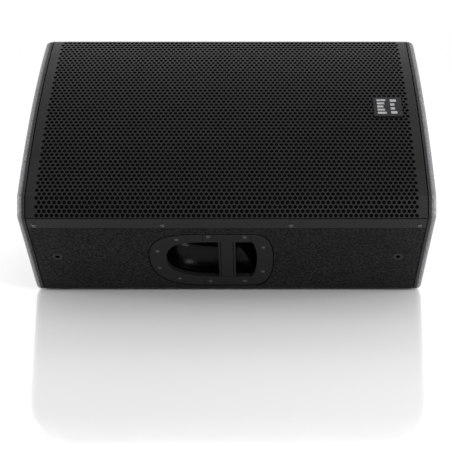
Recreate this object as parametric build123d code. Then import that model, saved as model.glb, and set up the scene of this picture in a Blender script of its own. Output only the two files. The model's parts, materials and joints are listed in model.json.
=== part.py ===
from build123d import *

import math
import os

# Stage monitor wedge: a two-way powered loudspeaker lying on its monitor face.
#
# Every piece is first made in the cabinet's own frame, in millimetres:
#   x  along the cabinet's length, from the top cheek to the base cheek
#   u  across the front, from the near side wall to the far side wall
#   v  out of the front; v = 0 is the front edge of both side walls
# At the end the whole cabinet is tilted onto its monitor face and centred.

# ---------------------------------------------------------------- driving dimensions
LENGTH = 700.0          # over both cheeks
CHEEK_T = 14.0          # cheek thickness
SHADOW_GAP = 2.0        # open joint between the cheeks and what lies between them
FRONT_W = 443.0         # over both side walls
NEAR_DEPTH = 203.0      # near side wall, front edge to monitor face
FAR_DEPTH = 362.0       # far side wall, front edge to back panel
TILT = 35.0             # monitor face against the back panel
PLY = 15.0              # plywood panels
BAFFLE_T = 18.0
CORNER_R = 11.0         # cabinet corners, seen from the end
ROUND_OVER = 9.5        # outer edge of the cheeks

BAND_W = 29.0           # folded grille band, measured across the front
BAND_H = 23.0           # and its rise
GRILLE_SAG = 16.0       # bulge of the curved grille between the bands
GRILLE_T = 1.2
FLANGE = 27.0           # grille flange on the side walls
GRILLE_SCREW_DOWN = 19.6
BADGE_X, BADGE_W = 282.0, 48.0
FOAM_T = 5.0
BAFFLE_V = -10.0        # front face of the baffle
BRACE_X = -74.0

WOOFER_X = 130.0
WOOFER_R = 194.0
WOOFER_SCREW_R = 187.0
HORN_X = -205.0
HORN_W = 210.0
PORT_OFFSET = 157.0     # ports beside the horn
PORT_R = 38.0
PORT_L = 120.0

HANDLE_C = 117.0        # middle of the handle's flange, down from the front edge
HANDLE_H = 145.6
MOUTH_C = 115.0         # and of its opening
CUP_DEPTH = 53.0
FLY_X, FLY_DOWN = 297.0, 106.5
FLY_BORE_R = 4.25       # M10 core
POLE_V = -185.0
POLE_BORE_R, POLE_DEPTH = 18.0, 80.0
POLE_PLATE = 46.0       # half width of the socket's plate
POLE_SCREW_R = 50.0

AMP_X, AMP_U = 20.0, 340.0
AMP_L, AMP_W = 420.0, 152.0
AMP_LIP = 8.0           # overlap of the amplifier panel on the back panel
AMP_T = 3.0
AMP_RECESS = 1.0
CHAMBER_DEPTH = 92.0

FOOT_R, FOOT_H = 14.0, 3.0

MID_U = FRONT_W / 2
BODY_X = LENGTH / 2 - CHEEK_T           # half length between the cheeks
BAFFLE_BACK = BAFFLE_V - BAFFLE_T
FLOOR_RUN = (FAR_DEPTH - NEAR_DEPTH) / math.tan(math.radians(TILT))
AMP_FACE = -FAR_DEPTH + AMP_RECESS      # outer face of the amplifier panel
AMP_BACK = AMP_FACE + AMP_T             # inner face of the amplifier panel
BACK_IN = -FAR_DEPTH + PLY              # inner face of the back panel

# Cabinet corners in (u, v), and the same corners one panel thickness inside.
FOLD_NEAR = (0, 0)
FOLD_FAR = (FRONT_W, 0)
CORNERS = [FOLD_NEAR, (0, -NEAR_DEPTH), (FLOOR_RUN, -FAR_DEPTH), (FRONT_W, -FAR_DEPTH), FOLD_FAR]
STEP_IN = PLY * math.tan(math.radians((90 - TILT) / 2))
SLOPE_IN = PLY * math.tan(math.radians(TILT / 2))
INNER = [(PLY, 0), (PLY, -NEAR_DEPTH + STEP_IN), (FLOOR_RUN + SLOPE_IN, BACK_IN),
         (FRONT_W - PLY, BACK_IN), (FRONT_W - PLY, 0)]

# Handle outline, in (x, down from the front edge).
HANDLE_LEFT, HANDLE_RIGHT = -136.5, 79.0
MOUTH_LEFT, MOUTH_RIGHT, MOUTH_H = -109.0, 53.0, 103.4
GRIP_LEFT, GRIP_RIGHT = -16.4, 13.8
SPLIT_LEFT, SPLIT_RIGHT = -41.6, 39.3
HANDLE_T = 3.5
HANDLE_SCREWS = [(-121.3, 24.0), (-86.7, 56.0), (-32.4, 64.0), (29.6, 63.5), (61.7, 35.0)]

pieces = {}
fitting_screws = []     # identical screws of the handles, the pole socket and the feet
driver_screws = []      # screws of the woofer and the horn


# ---------------------------------------------------------------- helpers
def block(x0, x1, u0, u1, v0, v1):
    """A box between two corners."""
    return Pos((x0 + x1) / 2, (u0 + u1) / 2, (v0 + v1) / 2) * Box(x1 - x0, u1 - u0, v1 - v0)


def disc(x, u, v0, v1, r):
    """A cylinder along v."""
    return Pos(x, u, (v0 + v1) / 2) * Cylinder(r, abs(v1 - v0))


def pin(x, v, u0, u1, r):
    """A cylinder along u."""
    return Pos(x, (u0 + u1) / 2, v) * Rot(90, 0, 0) * Cylinder(r, abs(u1 - u0))


def rod(x0, x1, u, v, r):
    """A cylinder along x."""
    return Pos((x0 + x1) / 2, u, v) * Rot(0, 90, 0) * Cylinder(r, abs(x1 - x0))


def prism(points, x0, x1):
    """A (u, v) outline made solid from x0 to x1."""
    face = Plane.YZ * make_face(Polyline(*points, close=True))
    return Pos(x0, 0, 0) * extrude(face, x1 - x0)


def spin(points, x, u):
    """An (r, v) outline turned about an axis along v."""
    face = Plane.XZ * make_face(Polyline(*points, close=True))
    return Pos(x, u, 0) * revolve(face, Axis.Z)


def far_side(part):
    """The same piece on the far side wall."""
    return mirror(part, Plane.XZ.offset(-MID_U))


def both_sides(parts):
    return parts + [far_side(part) for part in parts]


def group(parts):
    """Separate solids that share one node."""
    return Compound(children=[solid for part in parts for solid in part.solids()])


def around(count, radius, start=0.0):
    """Points evenly round a circle."""
    steps = [math.radians(start + 360 * i / count) for i in range(count)]
    return [(radius * math.cos(a), radius * math.sin(a)) for a in steps]


# ---------------------------------------------------------------- cabinet
def front_line(inset):
    """The grille's section from fold to fold, moved inwards by inset."""
    line = make_face(
        [Line(FOLD_NEAR, (BAND_W, BAND_H)),
         ThreePointArc((BAND_W, BAND_H), (MID_U, BAND_H + GRILLE_SAG), (FRONT_W - BAND_W, BAND_H)),
         Line((FRONT_W - BAND_W, BAND_H), FOLD_FAR),
         Polyline(FOLD_FAR, (FRONT_W, -2 * FLANGE), (0, -2 * FLANGE), FOLD_NEAR)])
    return offset(line, -inset, kind=Kind.INTERSECTION) if inset else line


def cabinet_outline(with_front):
    """The cabinet's end view. Its front is the grille's line, or the side walls' front edges."""
    flat = make_face(Polyline(*CORNERS, close=True))
    outline = flat + front_line(0) if with_front else flat
    corners = [v for v in outline.vertices() if v.Y < -1 or with_front]
    return fillet(corners, CORNER_R)


def panel(index):
    """One panel of the ring of four behind the front, mitred at both ends."""
    ring = cabinet_outline(False) - make_face(Polyline(*INNER, close=True))
    ring -= Pos(MID_U, 0) * Rectangle(2 * FRONT_W, 4)

    def beyond(corner, inner):
        return (2 * corner[0] - inner[0], 2 * corner[1] - inner[1])
    a, b = CORNERS[index], CORNERS[index + 1]
    c, d = INNER[index + 1], INNER[index]
    wedge = make_face(Polyline(beyond(a, d), beyond(b, c), c, d, close=True))
    return Pos(-BODY_X, 0, 0) * extrude(Plane.YZ * (ring & wedge), 2 * BODY_X)


def end_grooves():
    """The shadow gap beside each cheek, cut into the outer face of the panels."""
    skin = cabinet_outline(True) - offset(cabinet_outline(True), -2.5)
    solid = extrude(Plane.YZ * skin, SHADOW_GAP)
    return [Pos(-BODY_X, 0, 0) * solid, Pos(BODY_X - SHADOW_GAP, 0, 0) * solid]


def quarter(start, tip, bend):
    """A smooth curve that leaves start along the handle and arrives at tip across it."""
    (x0, y0), (x1, y1) = start, tip
    return Bezier(start, (x0 + (x1 - x0) * bend[0], y0), (x1, y1 + (y0 - y1) * bend[1]), tip)


def handle_shape(centre, height, ends, grow):
    """A face between two rounded ends, each (tip x, tip y, length, upper bend, lower bend)."""
    top, bottom = centre - height / 2 - grow, centre + height / 2 + grow
    edges, starts = [], []
    for (tip_x, tip_y, length, upper, lower), side in zip(ends, (-1, 1)):
        tip = (tip_x + side * grow, tip_y)
        start_x = tip[0] - side * length
        edges += [quarter((start_x, top), tip, upper), quarter((start_x, bottom), tip, lower)]
        starts.append(start_x)
    return make_face(edges + [Line((starts[0], level), (starts[1], level)) for level in (top, bottom)])


def outer_face(grow=0.0):
    """The handle's flange."""
    long_end = (HANDLE_LEFT, HANDLE_C - 8, 90.0, (0.73, 0.73), (0.67, 0.67))
    short_end = (HANDLE_RIGHT, HANDLE_C - 1, 38.0, (0.71, 0.71), (0.70, 0.70))
    return handle_shape(HANDLE_C, HANDLE_H, (long_end, short_end), grow)


def mouth_face(grow=0.0):
    """The handle's opening."""
    long_end = (MOUTH_LEFT, MOUTH_C - 2, 79.0, (0.62, 0.93), (0.68, 0.66))
    short_end = (MOUTH_RIGHT, MOUTH_C, 10.0, (0.25, 0.70), (0.25, 0.75))
    return handle_shape(MOUTH_C, MOUTH_H, (long_end, short_end), grow)


# Faces drawn here have x along the cabinet and y down the near wall; extruding goes inwards.
WALL = Plane(origin=(0, 0, 0), x_dir=(1, 0, 0), z_dir=(0, 1, 0))


def into_wall(face, start, end):
    return Pos(0, start, 0) * extrude(WALL * face, end - start)


CUP_WALL = 2.5
COLLAR_T, COLLAR_DEPTH = 2.0, 8.0       # lip of the handle inside the cup's mouth


def bowl(top, depth, grow):
    """A bowl that narrows and rounds in from its mouth at top."""
    levels = ((top, 0.0), (top + 8, 0.0), (top + 0.65 * (depth - top), -7.0), (depth, -24.0))
    return loft([Pos(0, level, 0) * (WALL * mouth_face(grow + inset)) for level, inset in levels])


def near_side_wall():
    wall = panel(0)
    wall -= into_wall(outer_face(1.4), -1, HANDLE_T + 0.2)
    wall -= into_wall(mouth_face(CUP_WALL + 2), -1, PLY + 1)
    wall -= block(-BODY_X, BODY_X, -1, GRILLE_T + 0.1, -FLANGE - 0.5, 1)
    for x in (-FLY_X, FLY_X):
        wall -= pin(x, -FLY_DOWN, -1, PLY + 1, 7.0)
        wall -= pin(x, -FLY_DOWN, -1, 1.2, 9.0)
    for x, down in handle_screw_places():
        wall -= pin(x, -down, HANDLE_T, PLY - 1, 2.1)
    for x in grille_screw_places():
        wall -= pin(x, -GRILLE_SCREW_DOWN, 0, PLY - 2, 2.1)
    return wall


def handle_screw_places():
    return [(x, MOUTH_C + side * off) for x, off in HANDLE_SCREWS for side in (-1, 1)]


def grille_screw_places():
    return [-323.0, -107.7, 107.7, 323.0]


def build_cabinet():
    grooves = end_grooves()
    near = near_side_wall()
    # The far wall is deeper; its front part is the near wall's mirror image.
    far = panel(3)
    far_cuts = far_side(near)
    front_zone = block(-LENGTH, LENGTH, MID_U, FRONT_W + 5, -NEAR_DEPTH + 9, 5)
    far = (far - front_zone) + (far_cuts & front_zone)
    floor = panel(1)
    back = panel(2)
    back -= block(AMP_X - AMP_L / 2 + AMP_LIP, AMP_X + AMP_L / 2 - AMP_LIP,
                  AMP_U - AMP_W / 2 + AMP_LIP, AMP_U + AMP_W / 2 - AMP_LIP, -FAR_DEPTH - 1, BACK_IN + 1)
    back -= block(AMP_X - AMP_L / 2 - 0.3, AMP_X + AMP_L / 2 + 0.3,
                  AMP_U - AMP_W / 2 - 0.3, AMP_U + AMP_W / 2 + 0.3, -FAR_DEPTH - 1, AMP_BACK)
    for x, u in amp_screw_places():
        back -= disc(x, u, AMP_BACK - 1, BACK_IN - 2, 2.1)
    for x, along in foot_places():
        floor -= on_floor(x, along, -1, 12, 2.1)
    for name, piece in (("near_side_wall", near), ("far_side_wall", far), ("floor_panel", floor),
                        ("back_panel", back)):
        for groove in grooves:
            piece -= groove
        pieces[name] = piece

    baffle = block(-BODY_X, BODY_X, PLY, FRONT_W - PLY, BAFFLE_BACK, BAFFLE_V)
    baffle -= disc(WOOFER_X, MID_U, BAFFLE_BACK - 1, BAFFLE_V + 1, 177.5)
    baffle -= block(HORN_X - 92, HORN_X + 92, MID_U - 92, MID_U + 92, BAFFLE_BACK - 1, BAFFLE_V + 1)
    for u in (MID_U - PORT_OFFSET, MID_U + PORT_OFFSET):
        baffle -= disc(HORN_X, u, BAFFLE_BACK - 1, BAFFLE_V + 1, PORT_R + 0.3)
    for dx, du in around(8, WOOFER_SCREW_R, 22.5):
        baffle -= disc(WOOFER_X + dx, MID_U + du, BAFFLE_BACK - 1, BAFFLE_V + 1, 2.6)
    for dx, du in horn_screw_places():
        baffle -= disc(HORN_X + dx, MID_U + du, BAFFLE_BACK - 1, BAFFLE_V + 1, 2.1)
    pieces["baffle"] = baffle

    cheek = extrude(Plane.YZ * cabinet_outline(True), CHEEK_T)
    rim = cheek.faces().sort_by(Axis.X)[-1].outer_wire().edges()
    cheek = fillet(rim, ROUND_OVER)
    base = Pos(BODY_X, 0, 0) * cheek
    top = mirror(base, Plane.YZ)
    base -= rod(BODY_X - 1, LENGTH / 2 + 1, MID_U, POLE_V, POLE_BORE_R + 3.6)
    base -= block(LENGTH / 2 - 3, LENGTH / 2 + 1, MID_U - POLE_PLATE, MID_U + POLE_PLATE,
                  POLE_V - POLE_PLATE, POLE_V + POLE_PLATE)
    for du, dv in around(4, POLE_SCREW_R, 45):
        base -= rod(BODY_X + 1, LENGTH / 2, MID_U + du, POLE_V + dv, 2.1)
    pieces["top_cheek"] = top
    pieces["base_cheek"] = base

    brace = prism([(64, BAFFLE_BACK), (FRONT_W - 64, BAFFLE_BACK), (FRONT_W - 64, -196),
                   (FRONT_W - PLY, -196), (FRONT_W - PLY, -244), (222, -244), (PLY, -196 + STEP_IN),
                   (PLY, -186), (64, -180)], BRACE_X - PLY / 2, BRACE_X + PLY / 2)
    brace -= rod(BRACE_X - PLY, BRACE_X + PLY, MID_U, -125, 62)
    pieces["cross_brace"] = brace

    pad = [(24, -34), (24, -186), (222, -322), (FRONT_W - 24, -334), (FRONT_W - 24, -34)]
    base_pad = prism(pad, BODY_X - 16, BODY_X) - rod(300, 340, MID_U, POLE_V, POLE_BORE_R + 6)
    top_pad = prism(pad, -BODY_X, -BODY_X + 12)
    pieces["damping_lining"] = group([base_pad, top_pad])


# ---------------------------------------------------------------- grille and badge
def build_front():
    sheet = front_line(0) - front_line(GRILLE_T)
    sheet -= Pos(MID_U, -2 * FLANGE) * Rectangle(2 * FRONT_W, 2 * FLANGE)
    half = BODY_X - SHADOW_GAP
    grille = Pos(-half, 0, 0) * extrude(Plane.YZ * sheet, 2 * half)
    screws = []
    for x in grille_screw_places():
        hole = pin(x, -GRILLE_SCREW_DOWN, -1, 3, 2.1)
        grille = grille - hole - far_side(hole)
        head = pin(x, -GRILLE_SCREW_DOWN, -1.6, 0, 3.6)
        head = fillet(head.edges().group_by(Axis.Y)[0], 1.0)
        screws.append(head + pin(x, -GRILLE_SCREW_DOWN, 0, PLY - 3, 2.0))
    pieces["grille"] = grille
    pieces["grille_screws"] = group(both_sides(screws))

    foam = front_line(GRILLE_T + 0.3) - front_line(GRILLE_T + 0.3 + FOAM_T)
    foam = foam & (Pos(MID_U, 30) * Rectangle(2 * FRONT_W, 56))
    pieces["grille_foam"] = Pos(-half + 1, 0, 0) * extrude(Plane.YZ * foam, 2 * half - 2)

    # The badge stands on the middle of the curved grille, near the base cheek.
    top = BAND_H + GRILLE_SAG
    badge = Pos(BADGE_X, MID_U, top + 1.1) * Box(BADGE_W + 2, BADGE_W, 2)
    pieces["badge"] = fillet(badge.edges().filter_by(Axis.Z), 2.0)


# ---------------------------------------------------------------- handles
def build_handles():
    split_gap = 0.25
    long_box = block(-200, SPLIT_LEFT - split_gap, -5, 20, -250, 0)
    short_box = block(SPLIT_RIGHT + split_gap, 200, -5, 20, -250, 0)
    middle_box = block(SPLIT_LEFT + split_gap, SPLIT_RIGHT - split_gap, -5, 20, -250, 0)

    plate = into_wall(outer_face(), 0.2, HANDLE_T) - into_wall(mouth_face(), -1, HANDLE_T + 1)
    collar = into_wall(mouth_face(), 0.2, COLLAR_DEPTH)
    plate += collar - into_wall(mouth_face(-COLLAR_T), -1, COLLAR_DEPTH + 1)
    for x, down in handle_screw_places():
        plate -= pin(x, -down, 0, HANDLE_T + 1, 2.1)
        plate -= pin(x, -down, 0, 1.4, 3.8)

    long_ring = plate & long_box
    short_ring = plate & short_box
    middle = plate & middle_box

    rim = HANDLE_T + 0.2
    low, high = -MOUTH_C - MOUTH_H / 2, -MOUTH_C + MOUTH_H / 2
    bar = block(GRIP_LEFT, GRIP_RIGHT, 0.6, 22, low - 1, high + 1)
    bar = fillet(bar.edges().filter_by(Axis.Z).group_by(Axis.Y)[-1], 9.0)
    bar = fillet(bar.edges().filter_by(Axis.Z).group_by(Axis.Y)[0], 2.0)
    for x in (GRIP_LEFT + 4.2, GRIP_RIGHT - 4.2):
        bar -= block(x - 0.6, x + 0.6, 0, 1.4, low - 2, high + 2)
    # Above and below the opening the bar ends inside the collar.
    middle += bar & into_wall(mouth_face(), 0, COLLAR_DEPTH)
    middle += bar & bowl(rim, CUP_DEPTH - CUP_WALL, 0.0)
    middle = middle.solids().sort_by(SortBy.VOLUME)[-1]

    cup = bowl(rim, CUP_DEPTH, CUP_WALL + 0.5) - bowl(rim, CUP_DEPTH - CUP_WALL, 0.5)

    screws = []
    for x, down in handle_screw_places():
        screws.append(pin(x, -down, 0.3, 1.4, 3.5) + pin(x, -down, 1.4, PLY - 2, 2.0))

    for side, turn in (("near", lambda part: part), ("far", far_side)):
        pieces[side + "_handle_long_ring"] = turn(long_ring)
        pieces[side + "_handle_grip"] = turn(middle)
        pieces[side + "_handle_short_ring"] = turn(short_ring)
        pieces[side + "_handle_cup"] = turn(cup)
    fitting_screws.extend(both_sides(screws))


# ---------------------------------------------------------------- fixing points
def build_fixings():
    insert = []
    for x in (-FLY_X, FLY_X):
        sleeve = pin(x, -FLY_DOWN, 0.2, 24, 6.9) + pin(x, -FLY_DOWN, 0.2, 1.1, 8.8)
        insert.append(sleeve - pin(x, -FLY_DOWN, 0, 25, FLY_BORE_R))
    pieces["fly_point_inserts"] = group(both_sides(insert))

    out = LENGTH / 2 - 0.2
    half = POLE_PLATE - 0.3
    socket = block(out - 2.6, out, MID_U - half, MID_U + half, POLE_V - half, POLE_V + half)
    socket += rod(out - POLE_DEPTH - 3, out, MID_U, POLE_V, POLE_BORE_R + 3.2)
    socket -= rod(out - POLE_DEPTH, out + 1, MID_U, POLE_V, POLE_BORE_R)
    screws = []
    for du, dv in around(4, POLE_SCREW_R, 45):
        u, v = MID_U + du, POLE_V + dv
        socket -= rod(out - 3, out + 1, u, v, 2.4)
        socket -= rod(out - 1.3, out + 1, u, v, 4.4)
        screws.append(rod(out - 1.3, out - 0.2, u, v, 4.0) + rod(BODY_X + 2, out - 1.3, u, v, 2.0))
    pieces["pole_socket"] = socket
    fitting_screws.extend(screws)

    feet = []
    for x, along in foot_places():
        foot = Pos(0, 0, -FOOT_H / 2) * Cylinder(FOOT_R, FOOT_H)
        foot = floor_place(x, along) * fillet(foot.edges().group_by(Axis.Z)[0], 1.0)
        feet.append(foot - on_floor(x, along, -FOOT_H - 1, 1, 2.3) - on_floor(x, along, -FOOT_H - 1, -1.2, 5))
        fitting_screws.append(on_floor(x, along, -2.2, -1.2, 4.2) + on_floor(x, along, -1.2, 11, 2.0))
    pieces["rubber_feet"] = group(feet)
    pieces["fitting_screws"] = group(fitting_screws)


def foot_places():
    """Feet, as (x, distance along the monitor face from the near wall)."""
    run = FLOOR_RUN / math.cos(math.radians(TILT))
    return [(x, along) for x in (-280.0, 280.0) for along in (32.0, run - 32.0)]


def floor_place(x, along):
    """A frame on the monitor face, with z pointing into the cabinet."""
    a = math.radians(TILT)
    return Pos(x, along * math.cos(a), -NEAR_DEPTH - along * math.sin(a)) * Rot(-TILT, 0, 0)


def on_floor(x, along, low, high, r):
    """A cylinder square to the monitor face, from low to high above it."""
    return floor_place(x, along) * Pos(0, 0, (low + high) / 2) * Cylinder(r, high - low)


# ---------------------------------------------------------------- woofer
def build_woofer():
    x, u = WOOFER_X, MID_U
    seat = BAFFLE_V + 1.5               # rear face of the basket's flange
    face = seat + 3                     # its front face
    motor = -99.0                       # front of the top plate

    gasket = disc(x, u, BAFFLE_V, seat, 192) - disc(x, u, BAFFLE_V - 1, seat + 1, 178.5)

    basket = spin([(WOOFER_R, seat), (WOOFER_R, face), (168, face), (168, seat - 2), (84, motor + 8),
                   (84, motor + 4), (44, motor + 4), (44, motor), (90, motor), (90, motor + 5),
                   (173, seat - 4), (177, seat - 1.6), (177, seat)], x, u)
    for dx, du in around(8, 112):
        basket -= Pos(x + dx, u + du, -60) * Box(46, 46, 52)
    places = [(x + dx, u + du) for dx, du in around(8, WOOFER_SCREW_R, 22.5)]
    screws = []
    for sx, su in places:
        basket -= disc(sx, su, seat - 1, face + 1, 2.6)
        gasket -= disc(sx, su, BAFFLE_V - 1, seat + 1, 2.6)
        head = disc(sx, su, face, face + 3.5, 4.5)
        head = fillet(head.edges().group_by(Axis.Z)[-1], 1.2) - Pos(sx, su, face + 2.6) * Box(2, 2, 4)
        screws.append(head + disc(sx, su, BAFFLE_BACK + 1, face, 2.5))
    pieces["woofer_gasket"] = gasket
    pieces["woofer_basket"] = basket
    driver_screws.extend(screws)

    # Half-roll surround, standing on the basket's flange and the edge of the cone.
    edge = face + 0.1
    outer, inner = 10.0, 8.6
    steps = [math.pi * i / 12 for i in range(13)]
    roll = [(160 + outer * math.cos(a), edge + 1 + outer * math.sin(a)) for a in steps]
    roll += [(150, edge + 1), (147, edge + 1), (147, edge), (151.4, edge)]
    roll += [(160 - inner * math.cos(a), edge + inner * math.sin(a)) for a in steps[1:-1]]
    roll += [(168.6, edge), (178, edge), (178, edge + 1)]
    pieces["woofer_surround"] = spin(roll, x, u)

    neck = 39.0
    cone = [(152, face - 0.3), (146, face - 0.3), (neck, -58), (neck, -60), (40, -60), (147, face - 1.8),
            (152, face - 1.8)]
    pieces["woofer_cone"] = spin(cone, x, u)
    cap_r, rise = 52.0, 14.0
    ball = (cap_r ** 2 + rise ** 2) / (2 * rise)
    base = -50.4
    arc = [(cap_r * i / 10, base + rise - ball + math.sqrt(ball ** 2 - (cap_r * i / 10) ** 2))
           for i in range(11)]
    cap = [(r, v) for r, v in arc] + [(r, v - 0.8) for r, v in reversed(arc)]
    pieces["woofer_dust_cap"] = spin(cap, x, u)
    former = disc(x, u, -112, -60.5, 38.3) - disc(x, u, -113, -60, 37.6)
    coil = disc(x, u, -112, -94, 39.6) - disc(x, u, -113, -93, 38.3)
    collar = disc(x, u, -61, -58, 39.0) - disc(x, u, -62, -57, 37.6)
    pieces["woofer_voice_coil"] = former + coil + collar

    folds = [(38.7 + 3.9 * i, -73 + (1.5 if i % 2 else 0)) for i in range(12)]
    spider = folds + [(r, v - 0.8) for r, v in reversed(folds)]
    pieces["woofer_spider"] = spin(spider, x, u)

    pieces["woofer_top_plate"] = disc(x, u, motor - 8, motor, 90) - disc(x, u, motor - 9, motor + 1, 41)
    pieces["woofer_magnet"] = disc(x, u, motor - 28, motor - 8, 95) - disc(x, u, motor - 30, motor - 7, 50)
    pole = disc(x, u, motor - 38, motor - 28, 90) + disc(x, u, motor - 28, motor, 36.4)
    pieces["woofer_back_plate"] = pole - disc(x, u, motor - 40, motor + 1, 12)


# ---------------------------------------------------------------- horn, driver and ports
def horn_screw_places():
    reach = HORN_W / 2 - 6
    return [(-reach, -reach), (reach, -reach), (-reach, reach), (reach, reach)]


def build_high_frequency():
    x, u = HORN_X, MID_U
    throat, mouth = -124.0, BAFFLE_V
    place = Pos(x, u, 0)
    outer = loft([Pos(0, 0, throat) * RectangleRounded(32, 32, 15.5),
                  Pos(0, 0, -60) * RectangleRounded(86, 80, 20),
                  Pos(0, 0, mouth) * RectangleRounded(182, 182, 26)])
    inner = loft([Pos(0, 0, throat - 0.01) * RectangleRounded(25.4, 25.4, 12.6),
                  Pos(0, 0, -60) * RectangleRounded(80, 74, 17),
                  Pos(0, 0, mouth + 6) * RectangleRounded(190, 190, 26)])
    flange = Pos(0, 0, mouth + 2.5) * Box(HORN_W, HORN_W, 5)
    flange = fillet(flange.edges().filter_by(Axis.Z), 12)
    snout = Pos(0, 0, throat - 4) * Cylinder(48, 8) - Pos(0, 0, throat - 4) * Cylinder(12.7, 9)
    horn = place * ((outer + flange) - inner) + place * snout
    screws = []
    for dx, du in horn_screw_places():
        horn -= disc(x + dx, u + du, mouth - 1, mouth + 6, 2.1)
        screws.append(disc(x + dx, u + du, mouth + 5, mouth + 7.4, 4) +
                      disc(x + dx, u + du, BAFFLE_BACK + 2, mouth + 5, 2.0))
    pieces["horn"] = horn
    pieces["driver_screws"] = group(driver_screws + screws)

    rear = throat - 8
    plate = disc(x, u, rear - 8, rear, 52) - disc(x, u, rear - 9, rear + 1, 12.7)
    pieces["driver_front_plate"] = plate
    magnet = disc(x, u, rear - 26, rear - 8, 55) - disc(x, u, rear - 27, rear - 7, 24)
    pieces["driver_magnet"] = magnet
    cover = disc(x, u, rear - 52, rear - 26, 52) - disc(x, u, rear - 49, rear - 25, 49)
    pieces["driver_rear_cover"] = cover
    dome_r, rise = 22.0, 7.0
    ball = (dome_r ** 2 + rise ** 2) / (2 * rise)
    rim = rear - 30
    arc = [(dome_r * i / 8, rim - rise + ball - math.sqrt(ball ** 2 - (dome_r * i / 8) ** 2))
           for i in range(9)]
    inside = [(r * 0.96, v + 0.7) for r, v in reversed(arc)]
    dome = arc + [(dome_r, rim + 4), (dome_r - 0.8, rim + 4)] + inside
    pieces["driver_diaphragm"] = spin(dome, x, u)
    pieces["driver_suspension"] = disc(x, u, rim - 0.5, rim, 48.8) - disc(x, u, rim - 1, rim + 1, 22.4)

    tubes = []
    for centre in (u - PORT_OFFSET, u + PORT_OFFSET):
        tube = disc(x, centre, mouth - PORT_L, mouth, PORT_R) + disc(x, centre, mouth, mouth + 3, PORT_R + 5)
        tubes.append(tube - disc(x, centre, mouth - PORT_L - 1, mouth + 4, PORT_R - 3))
    pieces["port_tubes"] = group(tubes)


# ---------------------------------------------------------------- amplifier
SINK_X0, SINK_X1 = -174.0, -36.0
SINK_U0, SINK_U1 = AMP_U - 60, AMP_U + 60
XLR_X = 0.0
XLR_IN_U, XLR_OUT_U = AMP_U + 38, AMP_U - 38
KNOB_X = 52.0
LED_X = 88.0
SWITCH_X, SWITCH_U = 132.0, AMP_U
MAINS_X, MAINS_U = 182.0, AMP_U


def amp_screw_places():
    half_l, half_w = AMP_L / 2 - 4, AMP_W / 2 - 4
    row = [AMP_X + half_l * i / 2 for i in (-2, -1, 0, 1, 2)]
    return [(x, AMP_U + side * half_w) for x in row for side in (-1, 1)]


def build_amplifier():
    x0, x1 = AMP_X - AMP_L / 2, AMP_X + AMP_L / 2
    u0, u1 = AMP_U - AMP_W / 2, AMP_U + AMP_W / 2
    plate = block(x0, x1, u0, u1, AMP_FACE, AMP_BACK)
    below, above = AMP_FACE - 1, AMP_BACK + 1
    plate -= block(SINK_X0, SINK_X1, SINK_U0, SINK_U1, below, above)
    for u in (XLR_IN_U, XLR_OUT_U):
        plate -= disc(XLR_X, u, below, above, 12.3)
    plate -= block(XLR_X - 3.5, XLR_X + 3.5, XLR_IN_U + 9, XLR_IN_U + 14.5, below, above)
    for u in (XLR_IN_U, XLR_OUT_U):
        plate -= disc(KNOB_X, u, below, above, 4)
    for i in range(4):
        plate -= disc(LED_X, AMP_U - 24 + 16 * i, below, above, 1.8)
    plate -= block(SWITCH_X - 10.3, SWITCH_X + 10.3, SWITCH_U - 14.3, SWITCH_U + 14.3, below, above)
    plate -= block(MAINS_X - 10.3, MAINS_X + 10.3, MAINS_U - 15.3, MAINS_U + 15.3, below, above)
    screws = []
    for x, u in amp_screw_places():
        plate -= disc(x, u, below, above, 2.1)
        head = disc(x, u, AMP_FACE - 2, AMP_FACE, 3.6)
        head = fillet(head.edges().group_by(Axis.Z)[0], 1.2)
        screws.append(head + disc(x, u, AMP_FACE, BACK_IN - 3, 2.0))
    pieces["amp_panel"] = plate
    pieces["amp_panel_screws"] = group(screws)

    sink = block(SINK_X0 - 6, SINK_X1 + 6, SINK_U0 - 5, SINK_U1 + 5, AMP_BACK + 14, AMP_BACK + 22)
    fins = 16
    pitch = (SINK_X1 - SINK_X0 - 4) / (fins - 1)
    for i in range(fins):
        x = SINK_X0 + 2 + pitch * i
        sink += block(x - 1.1, x + 1.1, SINK_U0 + 1, SINK_U1 - 1, AMP_FACE + 0.5, AMP_BACK + 14)
    pieces["heatsink"] = sink

    chamber_back = BACK_IN + CHAMBER_DEPTH
    chamber = block(x0 + 2, x1 - 2, u0 + 2, u1 - 2, BACK_IN, chamber_back)
    chamber -= block(x0 + 4, x1 - 4, u0 + 4, u1 - 4, BACK_IN - 1, chamber_back - 2)
    chamber -= disc(180, AMP_U, chamber_back - 3, chamber_back + 1, 11)
    pieces["amp_chamber"] = chamber

    board = block(SINK_X0, SINK_X1 + 70, SINK_U0 + 6, SINK_U1 - 6, AMP_BACK + 34, AMP_BACK + 35.6)
    for i in range(6):
        x = SINK_X0 + 18 + 22 * i
        board += block(x - 8, x + 8, AMP_U + 22, AMP_U + 27, AMP_BACK + 22.2, AMP_BACK + 34)
        board += disc(x, AMP_U - 18, AMP_BACK + 35.6, AMP_BACK + 58, 8)
    pieces["amplifier_board"] = board
    supply = block(72, 208, SINK_U0 + 6, SINK_U1 - 6, AMP_BACK + 46, AMP_BACK + 47.6)
    supply += disc(110, AMP_U, AMP_BACK + 47.6, AMP_BACK + 82, 26)
    supply -= disc(110, AMP_U, AMP_BACK + 47.6, AMP_BACK + 90, 8)
    for i in range(4):
        supply += disc(150, AMP_U - 39 + 26 * i, AMP_BACK + 47.6, AMP_BACK + 80, 11)
    supply += block(170, 200, AMP_U - 40, AMP_U + 40, AMP_BACK + 47.6, AMP_BACK + 70)
    pieces["power_supply"] = supply

    build_sockets()
    build_controls()


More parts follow.
